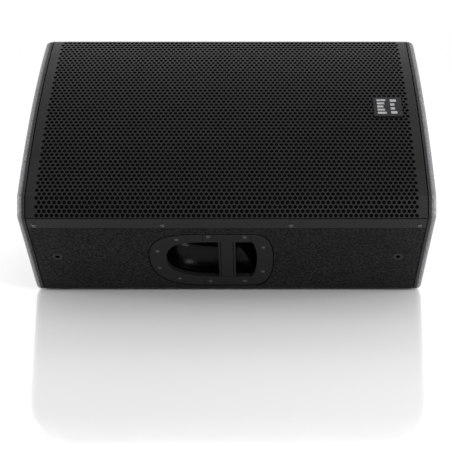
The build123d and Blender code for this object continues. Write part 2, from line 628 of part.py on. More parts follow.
def xlr_shell(u):
    """Flange and barrel of a chassis connector, with its face on the amplifier panel."""
    flange = block(XLR_X - 13, XLR_X + 13, u - 15.5, u + 15.5, AMP_FACE - 2, AMP_FACE)
    flange = fillet(flange.edges().filter_by(Axis.Z), 3)
    return flange + disc(XLR_X, u, AMP_FACE, AMP_BACK + 22, 12)


def build_sockets():
    face = AMP_FACE - 2
    # The input: a keyed shell round an insert with three contact holes, and its latch.
    shell = xlr_shell(XLR_IN_U) - disc(XLR_X, XLR_IN_U, face - 1, face + 14, 9.8)
    shell -= block(XLR_X - 3.4, XLR_X + 3.4, XLR_IN_U + 9, XLR_IN_U + 14.4, face - 1, AMP_BACK + 1)
    insert = disc(XLR_X, XLR_IN_U, face, face + 14, 8.0)
    for dx, du in around(3, 4.8, 90):
        insert -= disc(XLR_X + dx, XLR_IN_U + du, face - 1, face + 12, 1.5)
    pieces["xlr_input"] = group([shell, insert])
    latch = block(XLR_X - 3, XLR_X + 3, XLR_IN_U + 9.9, XLR_IN_U + 14, face - 1.8, AMP_BACK - 1.5)
    pieces["xlr_latch"] = fillet(latch.edges().group_by(Axis.Z)[0], 0.6)

    # The link output: a cup with three pins.
    shell = xlr_shell(XLR_OUT_U) - disc(XLR_X, XLR_OUT_U, face - 1, face + 17, 9.8)
    pins = [disc(XLR_X + dx, XLR_OUT_U + du, face + 8, face + 17, 1.2) for dx, du in around(3, 4.8, 30)]
    pieces["xlr_link"] = group([shell] + pins)

    inlet = block(MAINS_X - 14, MAINS_X + 14, MAINS_U - 25, MAINS_U + 25, face - 0.5, AMP_FACE)
    inlet = fillet(inlet.edges().filter_by(Axis.Z), 4)
    inlet += block(MAINS_X - 10, MAINS_X + 10, MAINS_U - 15, MAINS_U + 15, AMP_FACE, AMP_BACK + 24)
    inlet -= block(MAINS_X - 8.2, MAINS_X + 8.2, MAINS_U - 12.2, MAINS_U + 12.2, face - 2, face + 20)
    for dx, du in ((-2, -7), (2.5, 0), (-2, 7)):
        x, u = MAINS_X + dx, MAINS_U + du
        inlet += block(x - 2, x + 2, u - 1, u + 1, face + 9, face + 20)
    pieces["mains_inlet"] = inlet


def build_controls():
    face = AMP_FACE
    knobs = (("level_knob", XLR_IN_U, 10.0), ("mode_knob", XLR_OUT_U, 8.5))
    bodies = []
    for name, u, radius in knobs:
        cap = disc(KNOB_X, u, face - 13, face - 0.6, radius)
        cap = fillet(cap.edges().group_by(Axis.Z)[0], 1.2)
        for dx, du in around(14, radius + 0.6):
            cap -= disc(KNOB_X + dx, u + du, face - 14, face - 2.4, 1.2)
        cap -= block(KNOB_X - 0.6, KNOB_X + 0.6, u + 2, u + radius + 1, face - 14, face - 12.4)
        pieces[name] = cap + disc(KNOB_X, u, face - 1, AMP_BACK + 12, 3.0)
        pot = block(KNOB_X - 9, KNOB_X + 9, u - 9, u + 9, AMP_BACK + 0.2, AMP_BACK + 14)
        bodies.append(pot - disc(KNOB_X, u, AMP_BACK, AMP_BACK + 13, 3.06))
    pieces["control_pots"] = group(bodies)

    lights = []
    for i in range(4):
        u = AMP_U - 24 + 16 * i
        lights.append(disc(LED_X, u, face - 1, AMP_BACK + 4, 1.6))
    pieces["status_lights"] = group(lights)

    frame = block(SWITCH_X - 12.5, SWITCH_X + 12.5, SWITCH_U - 17, SWITCH_U + 17, face - 1.8, face)
    frame = fillet(frame.edges().filter_by(Axis.Z), 2)
    frame += block(SWITCH_X - 10, SWITCH_X + 10, SWITCH_U - 14, SWITCH_U + 14, face, AMP_BACK + 18)
    frame -= block(SWITCH_X - 8, SWITCH_X + 8, SWITCH_U - 12.6, SWITCH_U + 12.6, face - 3, AMP_BACK + 12)
    pivot_v = face + 4.0
    frame -= rod(SWITCH_X - 9.5, SWITCH_X + 9.5, SWITCH_U, pivot_v, 1.56)
    pieces["power_switch_frame"] = frame
    tilt = 8.0
    shape = [(SWITCH_U - 11, pivot_v - 8.2), (SWITCH_U, pivot_v - 6.6), (SWITCH_U + 11, pivot_v - 8.2),
             (SWITCH_U + 11, pivot_v - 1), (SWITCH_U + 4, pivot_v + 4), (SWITCH_U - 4, pivot_v + 4),
             (SWITCH_U - 11, pivot_v - 1)]
    rocker = prism(shape, SWITCH_X - 7.5, SWITCH_X + 7.5)
    rocker += rod(SWITCH_X - 9.2, SWITCH_X + 9.2, SWITCH_U, pivot_v, 1.5)
    pivot = Pos(SWITCH_X, SWITCH_U, pivot_v)
    pieces["power_rocker"] = pivot * Rot(tilt, 0, 0) * pivot.inverse() * rocker


# ---------------------------------------------------------------- internal cables
def build_wiring():
    chamber_back = BACK_IN + CHAMBER_DEPTH
    runs = [
        [(184, AMP_U - 4, chamber_back - 12), (184, AMP_U - 4, -205), (205, 300, -150), (232, 262, -112),
         (232, 247, -82.6)],
        [(176, AMP_U + 4, chamber_back - 12), (172, AMP_U + 4, -225), (110, 334, -196), (40, 290, -168),
         (-30, 236, -150), (-112, 222, -160), (-150, 224, -205), (-192, 226, -222), (HORN_X, MID_U, -205),
         (HORN_X, MID_U, -184.6)],
    ]
    cables = []
    for route in runs:
        radii = []
        for a, b, c in zip(route, route[1:], route[2:]):
            before, after = Vector(*b) - Vector(*a), Vector(*c) - Vector(*b)
            turn = math.radians(before.get_angle(after))
            radii.append(0.45 * min(before.length, after.length) / math.tan(turn / 2))
        path = FilletPolyline(*route, radius=radii)
        section = Plane(origin=path @ 0, z_dir=path % 0) * Circle(2.6)
        cables.append(sweep(section, path))
    pieces["internal_cables"] = group(cables)


build_cabinet()
build_front()
build_handles()
build_fixings()
build_woofer()
build_high_frequency()
build_amplifier()
build_wiring()

# Tilt the cabinet onto its feet and put the origin at the bottom centre of its box.
tilted = {name: Rot(TILT, 0, 0) * piece for name, piece in pieces.items()}
box = Compound(children=[solid for piece in tilted.values() for solid in piece.solids()]).bounding_box()
shift = Pos(-(box.min.X + box.max.X) / 2, -(box.min.Y + box.max.Y) / 2, -box.min.Z)

os.makedirs("parts", exist_ok=True)
for name, piece in tilted.items():
    export_step(shift * piece, "parts/" + name + ".step")

print("pieces", len(pieces), "size", box.size, "shift", shift.position)
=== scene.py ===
import json
import math

import bmesh
import bpy
from mathutils import Matrix, Vector, noise


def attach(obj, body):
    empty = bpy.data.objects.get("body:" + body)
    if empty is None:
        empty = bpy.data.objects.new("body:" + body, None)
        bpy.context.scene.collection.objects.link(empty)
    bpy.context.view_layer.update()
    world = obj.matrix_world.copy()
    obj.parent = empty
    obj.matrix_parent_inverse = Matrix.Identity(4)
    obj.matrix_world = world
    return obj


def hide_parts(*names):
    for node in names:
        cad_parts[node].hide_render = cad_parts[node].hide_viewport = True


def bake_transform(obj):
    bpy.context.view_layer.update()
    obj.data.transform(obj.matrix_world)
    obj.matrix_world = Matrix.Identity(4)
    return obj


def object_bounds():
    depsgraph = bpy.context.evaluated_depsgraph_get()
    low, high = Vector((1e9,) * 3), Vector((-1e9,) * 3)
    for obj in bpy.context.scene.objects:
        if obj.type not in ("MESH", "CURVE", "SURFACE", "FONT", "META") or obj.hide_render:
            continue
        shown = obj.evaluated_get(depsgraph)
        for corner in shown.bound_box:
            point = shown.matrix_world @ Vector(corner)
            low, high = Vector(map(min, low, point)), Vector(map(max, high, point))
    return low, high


# Stage monitor wedge. Lengths are metres; the cabinet's own frame is x along its length, u across its
# front and v out of its front, as seen before the cabinet is tilted onto its monitor face.
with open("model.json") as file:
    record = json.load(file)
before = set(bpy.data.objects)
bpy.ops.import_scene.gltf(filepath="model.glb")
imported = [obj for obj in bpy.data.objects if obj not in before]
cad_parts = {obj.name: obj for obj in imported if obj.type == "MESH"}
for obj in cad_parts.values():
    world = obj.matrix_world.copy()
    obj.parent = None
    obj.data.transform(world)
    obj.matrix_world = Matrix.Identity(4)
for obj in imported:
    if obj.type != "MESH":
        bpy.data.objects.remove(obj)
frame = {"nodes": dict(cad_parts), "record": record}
nodes = frame["nodes"]
cad_low, cad_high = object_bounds()

MM = 0.001
TILT = math.radians(35)
NEAR_DEPTH, FOOT_H = 203 * MM, 3 * MM
LIFT = NEAR_DEPTH * math.cos(TILT) + FOOT_H
TO_ROW = Matrix.Translation((0, cad_low.y, LIFT)) @ Matrix.Rotation(TILT, 4, "X")
TO_CABINET = TO_ROW.inverted()

# Grille
FRONT_W, BAND_W, BAND_H, SAG, FLANGE = 443 * MM, 29 * MM, 23 * MM, 16 * MM, 27 * MM
SHEET_T = 1.2 * MM
HALF_X = 334 * MM
HOLE_R = 3.25 * MM
ARC_ROWS, BAND_ROWS = 53, 5
LONG_ROW = 76
BAND_L = math.hypot(BAND_W, BAND_H)
CHORD = FRONT_W - 2 * BAND_W
ARC_R = (CHORD ** 2 / 4 + SAG ** 2) / (2 * SAG)
HALF_ANGLE = math.asin(CHORD / 2 / ARC_R)
ARC_L = 2 * ARC_R * HALF_ANGLE
PATH_L = 2 * BAND_L + ARC_L
ROW_STEP = ARC_L / ARC_ROWS
PITCH = ROW_STEP / math.sin(math.radians(60))
ROWS = ARC_ROWS + 2 * BAND_ROWS
FOAM_GAP, FOAM_T = 0.3 * MM, 5 * MM

# Handle flange, measured down from the front edge
HANDLE_C, HANDLE_H = 117 * MM, 145.6 * MM
HANDLE_LEFT, HANDLE_RIGHT = -136.5 * MM, 79 * MM
MOUTH_TOP, MOUTH_BOTTOM = 63.3 * MM, 166.7 * MM
GRIP_LEFT, GRIP_RIGHT = -16.4 * MM, 13.8 * MM
SPLIT_LEFT, SPLIT_RIGHT = -41.6 * MM, 39.3 * MM

GROOVE_INSET = 4.2 * MM

# Woofer's surround and spider: an inner and an outer radius for each, and the sectors each is cut in
SURROUND_RADII, SPIDER_RADII = (152 * MM, 168.6 * MM), (40 * MM, 78 * MM)
SECTORS = 12

# Amplifier panel
PANEL_V = -361 * MM
LEVEL_KNOB, MODE_KNOB = (52 * MM, 378 * MM, 10 * MM), (52 * MM, 302 * MM, 8.5 * MM)
SOCKETS = (378 * MM, 302 * MM)


# ---------------------------------------------------------------- mesh helpers
def new_piece(name, bm, body, smooth_angle=25):
    """Makes a piece of a bmesh in the row frame, riding on a body, if one is given."""
    bmesh.ops.recalc_face_normals(bm, faces=bm.faces[:])
    mesh = bpy.data.meshes.new(name)
    bm.to_mesh(mesh)
    bm.free()
    mesh.shade_smooth()
    mesh.set_sharp_from_angle(angle=math.radians(smooth_angle))
    piece = bpy.data.objects.new(name, mesh)
    bpy.context.scene.collection.objects.link(piece)
    if body:
        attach(piece, body)
    return piece


def legs(s):
    """Point and outward normal on each flat or curved leg of the near half that length s is on."""
    edge = 1e-6
    if s <= edge:
        yield Vector((0, s)), Vector((-1, 0))
    if -edge <= s <= BAND_L + edge:
        along = Vector((BAND_W, BAND_H)) / BAND_L
        yield along * s, Vector((-along.y, along.x))
    if s >= BAND_L - edge:
        angle = (s - BAND_L) / ARC_R - HALF_ANGLE
        out = Vector((math.sin(angle), math.cos(angle)))
        yield Vector((FRONT_W / 2, BAND_H + SAG - ARC_R)) + ARC_R * out, out


def section(s, depth):
    """(u, v) at length s along the grille's outer face, from the near fold, and that depth inside it."""
    far = s > PATH_L / 2
    points, normals = zip(*legs(PATH_L - s if far else s))
    normal = sum(normals, Vector((0, 0))) / len(normals)
    place = points[0] - normal * depth / normal.length_squared
    if far:
        place.x = FRONT_W - place.x
    return place


def bend_to_section(bm):
    """Takes a flat sheet of (x, length, depth) to the grille's section, in the row frame."""
    for vert in bm.verts:
        u, v = section(vert.co.y, vert.co.z)
        vert.co = TO_ROW @ Vector((vert.co.x, u, v))


# ---------------------------------------------------------------- perforated grille
class Sheet:
    """One face of the perforated sheet, flat. A hole has two corners for each of its six neighbours,
    so twelve in front; on the back a corner is shared by two neighbours, so six."""

    def __init__(self, bm, depth, shared):
        self.bm, self.depth, self.shared = bm, depth, shared
        self.made = {}

    def point(self, key, x, s):
        if key not in self.made:
            self.made[key] = self.bm.verts.new((x, s, self.depth))
        return self.made[key]

    def corner(self, row, hole, way, side):
        if self.shared and side < 0:
            way, side = way - 1, 1
        way %= 6
        turn = math.radians(60 * way + side * (30 if self.shared else 15))
        radius = HOLE_R / math.cos(math.radians(30)) if self.shared else HOLE_R
        x = (hole - (holes_in(row) - 1) / 2) * PITCH + radius * math.cos(turn)
        s = row_place(row) + radius * math.sin(turn)
        return self.point((row, hole, way, side), x, s)

    def face(self, *corners):
        loop = [c for c, before in zip(corners, corners[-1:] + corners[:-1]) if c is not before]
        if len(loop) > 2:
            self.bm.faces.new(loop)

    def between_holes(self):
        """The webs and the small areas between three holes."""
        c, face = self.corner, self.face
        for row in range(ROWS):
            count = holes_in(row)
            for i in range(count - 1):
                face(c(row, i, 0, -1), c(row, i + 1, 3, 1), c(row, i + 1, 3, -1), c(row, i, 0, 1))
            if row == ROWS - 1:
                break
            above, step = row + 1, 0 if count == LONG_ROW else 1
            for i in range(count):
                left, right = i - 1 + step, i + step
                has_left, has_right = left >= 0, right < holes_in(above)
                if has_right:
                    face(c(row, i, 1, -1), c(above, right, 4, 1), c(above, right, 4, -1), c(row, i, 1, 1))
                if has_left:
                    face(c(row, i, 2, -1), c(above, left, 5, 1), c(above, left, 5, -1), c(row, i, 2, 1))
                if has_left and has_right:
                    face(c(row, i, 1, 1), c(above, right, 4, -1), c(above, right, 3, 1),
                         c(above, left, 0, -1), c(above, left, 5, 1), c(row, i, 2, -1))
                if i < count - 1:
                    face(c(row, i, 0, 1), c(row, i + 1, 3, -1), c(row, i + 1, 2, 1),
                         c(above, right, 5, -1), c(above, right, 4, 1), c(row, i, 1, -1))

    def end_margins(self):
        """The plain strips at both ends of the rows; mirrored says which end."""
        for mirrored in (False, True):
            def c(row, way, side):
                if mirrored:
                    return self.corner(row, holes_in(row) - 1, 3 - way, -side)
                return self.corner(row, 0, way, side)

            for row in range(ROWS):
                self.face(self.end(row, mirrored), c(row, 3, 1), c(row, 3, -1))
                if row == ROWS - 1:
                    continue
                if holes_in(row) == LONG_ROW:
                    ways = [c(row, 3, -1), c(row, 2, 1), c(row, 2, -1), c(row, 1, 1),
                            c(row + 1, 4, -1), c(row + 1, 3, 1)]
                else:
                    ways = [c(row, 3, -1), c(row, 2, 1), c(row + 1, 5, -1), c(row + 1, 4, 1),
                            c(row + 1, 4, -1), c(row + 1, 3, 1)]
                self.face(self.end(row, mirrored), *ways, self.end(row + 1, mirrored))

    def end(self, row, right):
        return self.point(("end", row, right), HALF_X if right else -HALF_X, row_place(row))

    def flange(self, far, column, s):
        """A vertex of the flange on one side wall: a column over each hole, and -1 and count at the ends."""
        row = ROWS - 1 if far else 0
        count = holes_in(row)
        x = (column - (count - 1) / 2) * PITCH
        x = {-1: -HALF_X, count: HALF_X}.get(column, x)
        return self.point(("flange", far, column, s), x, PATH_L + s if far else -s)

    def flanges(self):
        """The strips from the first and last rows round the folds and along the side walls."""
        for far in (False, True):
            row = ROWS - 1 if far else 0
            count = holes_in(row)
            flip = -1 if far else 1

            def c(hole, way, side):
                return self.corner(row, hole, flip * way, flip * side)

            def fold(column):
                return self.flange(far, column, 0)

            for i in range(count):
                self.face(fold(i), c(i, 5, -1), c(i, 4, 1))
                if i < count - 1:
                    self.face(fold(i), fold(i + 1), c(i + 1, 4, 1), c(i + 1, 4, -1), c(i + 1, 3, 1),
                              c(i, 0, -1), c(i, 5, 1), c(i, 5, -1))
            self.face(fold(-1), fold(0), c(0, 4, 1), c(0, 4, -1), c(0, 3, 1), self.end(row, False))
            last = count - 1
            self.face(fold(count), self.end(row, True), c(last, 0, -1), c(last, 5, 1), c(last, 5, -1),
                      fold(last))
            for i in range(-1, count):
                self.face(fold(i), self.flange(far, i, FLANGE), self.flange(far, i + 1, FLANGE), fold(i + 1))

    def outline(self):
        """The sheet's outer edge, all the way round."""
        near, far = holes_in(0), holes_in(ROWS - 1)
        loop = [self.flange(False, i, FLANGE) for i in range(-1, near + 1)]
        loop += [self.flange(False, near, 0)] + [self.end(row, True) for row in range(ROWS)]
        loop += [self.flange(True, far, 0)] + [self.flange(True, i, FLANGE) for i in range(far, -2, -1)]
        loop += [self.flange(True, -1, 0)] + [self.end(row, False) for row in range(ROWS - 1, -1, -1)]
        return loop + [self.flange(False, -1, 0)]


def holes_in(row):
    return LONG_ROW - row % 2


def row_place(row):
    return BAND_L + (row - BAND_ROWS + 0.5) * ROW_STEP


def build_grille():
    bm = bmesh.new()
    front, back = Sheet(bm, 0, False), Sheet(bm, SHEET_T, True)
    for side in (front, back):
        side.between_holes()
        side.end_margins()
        side.flanges()
    for row in range(ROWS):
        for hole in range(holes_in(row)):
            for way in range(6):
                for a, b in (((way, -1), (way, 1)), ((way, 1), (way + 1, -1))):
                    front.face(front.corner(row, hole, *a), front.corner(row, hole, *b),
                               back.corner(row, hole, *b), back.corner(row, hole, *a))
    edges = list(zip(front.outline(), back.outline()))
    for (a, under_a), (b, under_b) in zip(edges, edges[1:] + edges[:1]):
        front.face(a, b, under_b, under_a)
    for fold in (BAND_L, BAND_L + ARC_L):
        everything = bm.verts[:] + bm.edges[:] + bm.faces[:]
        bmesh.ops.bisect_plane(bm, geom=everything, plane_co=(0, fold, 0), plane_no=(0, 1, 0))
    bend_to_section(bm)
    piece = new_piece("perforated_grille", bm, "cabinet")
    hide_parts("grille")
    return piece


def build_shade_strips():
    """Near-black strips as painted shade: one in the fold under each band and one below each flange, where
    the slits there lie in shadow.
    """
    bm = bmesh.new()
    for far in (False, True):
        for low, high, proud in ((-2.3 * MM, -0.1 * MM, 0.12 * MM), (-FLANGE - 0.9 * MM, -FLANGE, 0.05 * MM)):
            rings = []
            for share, depth in ((0, 0), (0.2, -proud), (0.8, -proud), (1, 0)):
                s = low * (1 - share) + high * share
                length = PATH_L - s if far else s
                rings.append([bm.verts.new((x, length, depth)) for x in (-HALF_X, HALF_X)])
            for a, b in zip(rings, rings[1:] + rings[:1]):
                bm.faces.new([a[0], a[1], b[1], b[0]])
            for end in (0, 1):
                bm.faces.new([ring[end] for ring in rings])
    bend_to_section(bm)
    return new_piece("painted_shade_strips", bm, "cabinet")


def quarter(start, tip, bend, steps=14):
    """Points of a smooth curve that leaves start along the handle and arrives at tip across it."""
    (x0, y0), (x1, y1) = start, tip
    ends = (start, (x0 + (x1 - x0) * bend[0], y0), (x1, y1 + (y0 - y1) * bend[1]), tip)
    points = []
    for i in range(steps + 1):
        t = i / steps
        weights = ((1 - t) ** 3, 3 * t * (1 - t) ** 2, 3 * t * t * (1 - t), t ** 3)
        points.append([sum(w * e[k] for w, e in zip(weights, ends)) for k in (0, 1)])
    return points


def flange_outline(grow):
    """The handle flange's outline, in (x, down from the front edge), counted from its upper left."""
    top, bottom = HANDLE_C - HANDLE_H / 2 - grow, HANDLE_C + HANDLE_H / 2 + grow
    left, right = (HANDLE_LEFT - grow, HANDLE_C - 8 * MM), (HANDLE_RIGHT + grow, HANDLE_C - 1 * MM)
    start, stop = HANDLE_LEFT - grow + 90 * MM, HANDLE_RIGHT + grow - 38 * MM
    loop = quarter((stop, top), right, (0.71, 0.71)) + quarter((stop, bottom), right, (0.70, 0.70))[::-1]
    loop += quarter((start, bottom), left, (0.67, 0.67))
    return loop + quarter((start, top), left, (0.73, 0.73))[::-1]


def wall_line(bm, far, x, width, start, stop, depth):
    """A thin strip of painted shade down a side wall, that deep under its face, with its edges rounded off.
    """
    rings = []
    for share, lower in ((-0.5, 0.3 * MM), (-0.3, 0), (0.3, 0), (0.5, 0.3 * MM)):
        u = depth + lower
        u = FRONT_W - u if far else u
        rings.append([bm.verts.new(TO_ROW @ Vector((x + share * width, u, -down))) for down in (start, stop)])
    for a, b in zip(rings, rings[1:] + rings[:1]):
        bm.faces.new([a[0], a[1], b[1], b[0]])
    for end in (0, 1):
        bm.faces.new([ring[end] for ring in rings])


def build_handle_shade_strips():
    """Near-black strips as painted shade in the joint between each handle's flange and its wall, in the
    joints between the handle's three pieces, and in the two grooves along its grip."""
    bm = bmesh.new()
    top, bottom = HANDLE_C - HANDLE_H / 2, HANDLE_C + HANDLE_H / 2
    for far in (False, True):
        for x in (SPLIT_LEFT, SPLIT_RIGHT):
            for start, stop in ((top, MOUTH_TOP), (MOUTH_BOTTOM, bottom)):
                wall_line(bm, far, x, 1.0 * MM, start, stop, 0.12 * MM)
        for x in (GRIP_LEFT + GROOVE_INSET, GRIP_RIGHT - GROOVE_INSET):
            wall_line(bm, far, x, 1.1 * MM, MOUTH_TOP + 3 * MM, MOUTH_BOTTOM - 3 * MM, 0.55 * MM)
        rings = []
        for grow, depth in ((-0.2, 0.9), (-0.2, 0.12), (0.7, 0.0), (1.6, -0.1), (1.6, 0.9)):
            ring = []
            for x, down in flange_outline(grow * MM):
                u = FRONT_W - depth * MM if far else depth * MM
                ring.append(bm.verts.new(TO_ROW @ Vector((x, u, -down))))
            rings.append(ring)
        for a, b in zip(rings, rings[1:] + rings[:1]):
            for k in range(len(a)):
                bm.faces.new([a[k - 1], a[k], b[k], b[k - 1]])
    bmesh.ops.remove_doubles(bm, verts=bm.verts[:], dist=0.001 * MM)
    return new_piece("handle_painted_shade_strips", bm, "cabinet", 60)


def build_foam():
    """Open-cell foam behind the grille, a little uneven."""
    columns, rows = 132, 92
    front, back = SHEET_T + FOAM_GAP, SHEET_T + FOAM_GAP + FOAM_T
    start, length = 2.2 * MM, PATH_L - 4.4 * MM
    bm = bmesh.new()
    grid = {}
    for layer, depth in enumerate((front, back)):
        for i in range(columns + 1):
            for j in range(rows + 1):
                x = (i / columns - 0.5) * 2 * (HALF_X - 1 * MM)
                s = start + length * j / rows
                place = Vector((x, s, depth))
                pores = noise.noise(place / (9 * MM)) + noise.noise(place / (4 * MM))
                grid[layer, i, j] = bm.verts.new((x, s, depth + (0.25 * MM) * (1 + 0.5 * pores)))
    for i in range(columns):
        for j in range(rows):
            for layer in (0, 1):
                corners = ((i, j), (i + 1, j), (i + 1, j + 1), (i, j + 1))
                bm.faces.new([grid[layer, *corner] for corner in corners])
    around = [(i, 0) for i in range(columns)] + [(columns, j) for j in range(rows)]
    around += [(i, rows) for i in range(columns, 0, -1)] + [(0, j) for j in range(rows, 0, -1)]
    for a, b in zip(around, around[1:] + around[:1]):
        bm.faces.new([grid[0, *a], grid[0, *b], grid[1, *b], grid[1, *a]])
    bend_to_section(bm)
    piece = new_piece("acoustic_foam", bm, "cabinet", 60)
    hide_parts("grille_foam")
    return piece


def build_wadding():
    """The damping pads inside the walls: rounded and fibrous."""
    bm = bmesh.new()
    bm.from_mesh(nodes["damping_lining"].data)
    bmesh.ops.remove_doubles(bm, verts=bm.verts[:], dist=0.01 * MM)
    mesh = bpy.data.meshes.new("felt_pads")
    bm.to_mesh(mesh)
    bm.free()
    piece = bpy.data.objects.new("felt_pads", mesh)
    bpy.context.scene.collection.objects.link(piece)
    remesh = piece.modifiers.new("remesh", "REMESH")
    remesh.mode, remesh.voxel_size = "VOXEL", 5 * MM
    smooth = piece.modifiers.new("smooth", "SMOOTH")
    smooth.factor, smooth.iterations = 0.5, 4
    solid = piece.evaluated_get(bpy.context.evaluated_depsgraph_get())
    bm = bmesh.new()
    bm.from_mesh(solid.data)
    bpy.data.objects.remove(piece)
    bm.normal_update()
    for vert in bm.verts:
        lumps = noise.noise(vert.co / (40 * MM)) + 0.5 * noise.noise(vert.co / (12 * MM))
        vert.co -= vert.normal * (0.8 * MM) * (1 + lumps)
    piece = new_piece("felt_pads", bm, "cabinet", 60)
    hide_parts("damping_lining")
    return piece


def build_flexing(node, inner, outer, slot):
    """A round part of the woofer, cut in sectors round its axis, each sector a separate piece on no body. It
    is cut in sectors, because a piece blends along one line only. The radii inner and outer are not used."""
    low, high = cabinet_box(node)
    axis = Vector(((low.x + high.x) / 2, (low.y + high.y) / 2, low.z))
    made = []
    for k in range(SECTORS):
        bm = bmesh.new()
        bm.from_mesh(nodes[node].data)
        bm.transform(TO_CABINET)
        bmesh.ops.remove_doubles(bm, verts=bm.verts[:], dist=0.005 * MM)
        turn = 2 * math.pi * k / SECTORS
        for side in (-1, 1):
            edge = turn + side * math.pi / SECTORS
            outward = Vector((-math.sin(edge), math.cos(edge), 0)) * side
            everything = bm.verts[:] + bm.edges[:] + bm.faces[:]
            cut = bmesh.ops.bisect_plane(bm, geom=everything, plane_co=axis, plane_no=outward,
                                         clear_outer=True)
            rim = [e for e in cut["geom_cut"] if isinstance(e, bmesh.types.BMEdge)]
            bmesh.ops.holes_fill(bm, edges=rim)
        bm.transform(TO_ROW)
        piece = new_piece(f"{node}_sector_{k + 1}", bm, None, 40)
        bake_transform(piece)
        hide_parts(node)
        made.append(piece)
    return made


# ---------------------------------------------------------------- badge and panel marks
def add_plate(bm, x, u, v, size_x, size_u, size_v, turn=0.0, chamfer=0.0):
    """A small raised plate on a face across v, turned about its centre, with chamfered upper edges."""
    made = []
    for inset, height in ((0, 0), (0, 1 - chamfer), (chamfer, 1)):
        half_x, half_u = size_x / 2 - inset * abs(size_v), size_u / 2 - inset * abs(size_v)
        ring = []
        for sx, su in ((-1, -1), (1, -1), (1, 1), (-1, 1)):
            dx, du = sx * half_x, su * half_u
            turned_x = x + dx * math.cos(turn) - du * math.sin(turn)
            turned_u = u + dx * math.sin(turn) + du * math.cos(turn)
            ring.append(bm.verts.new(TO_ROW @ Vector((turned_x, turned_u, v + height * size_v))))
        made.append(ring)
    bm.faces.new(made[0][::-1])
    bm.faces.new(made[-1])
    for low, high in zip(made, made[1:]):
        for k in range(4):
            bm.faces.new([low[k], low[(k + 1) % 4], high[(k + 1) % 4], high[k]])


def cabinet_box(node):
    """A CAD node's box in the cabinet's own frame."""
    places = [TO_CABINET @ v.co for v in nodes[node].data.vertices]
    low = Vector([min(p[k] for p in places) for k in range(3)])
    high = Vector([max(p[k] for p in places) for k in range(3)])
    return low, high


def build_badge_marks():
    """Plain bars in two groups, as on a level meter."""
    low, high = cabinet_box("badge")
    bm = bmesh.new()
    width, height = high.x - low.x, high.y - low.y
    bar_t = 0.35 * MM
    groups = ((0.13, 0.46, (0.95, 0.80, 0.66, 0.80, 0.95)), (0.60, 0.87, (0.80, 0.55, 0.55, 0.80)))
    for left, right, lengths in groups:
        span = height * 0.82
        step = span / len(lengths)
        for k, share in enumerate(lengths):
            bar_l = (right - left) * width * share
            x = low.x + left * width + bar_l / 2
            u = low.y + height * 0.09 + step * (k + 0.5)
            add_plate(bm, x, u, high.z, bar_l, step * 0.62, bar_t, chamfer=0.3)
    return new_piece("badge_bars", bm, "cabinet")


def build_panel_marks():
    """Printed scales round both knobs and plain frames round the sockets, lights and switch."""
    bm = bmesh.new()
    ink = -0.12 * MM

    def frame_line(x0, x1, u0, u1, line=0.7 * MM):
        for u in (u0, u1):
            add_plate(bm, (x0 + x1) / 2, u, PANEL_V, x1 - x0 + line, line, ink)
        for x in (x0, x1):
            add_plate(bm, x, (u0 + u1) / 2, PANEL_V, line, u1 - u0 - line, ink)

    for (x, u, radius), ticks, sweep in ((LEVEL_KNOB, 11, 150), (MODE_KNOB, 5, 60)):
        for k in range(ticks):
            turn = math.radians(-sweep + 2 * sweep * k / (ticks - 1))
            reach = radius + 5.2 * MM
            long = 3.2 * MM if k in (0, ticks // 2, ticks - 1) else 2.2 * MM
            tick_x, tick_u = x + reach * math.sin(turn), u + reach * math.cos(turn)
            add_plate(bm, tick_x, tick_u, PANEL_V, 0.7 * MM, long, ink, -turn)
    for u in SOCKETS:
        frame_line(-19 * MM, 19 * MM, u - 21 * MM, u + 21 * MM)
    frame_line(31 * MM, 98 * MM, 281 * MM, 400 * MM)
    frame_line(112 * MM, 204 * MM, 313 * MM, 367 * MM)
    for k in range(4):
        add_plate(bm, 93 * MM, (316 + 16 * k) * MM, PANEL_V, 3 * MM, 0.7 * MM, ink)
    return new_piece("panel_print", bm, "cabinet")


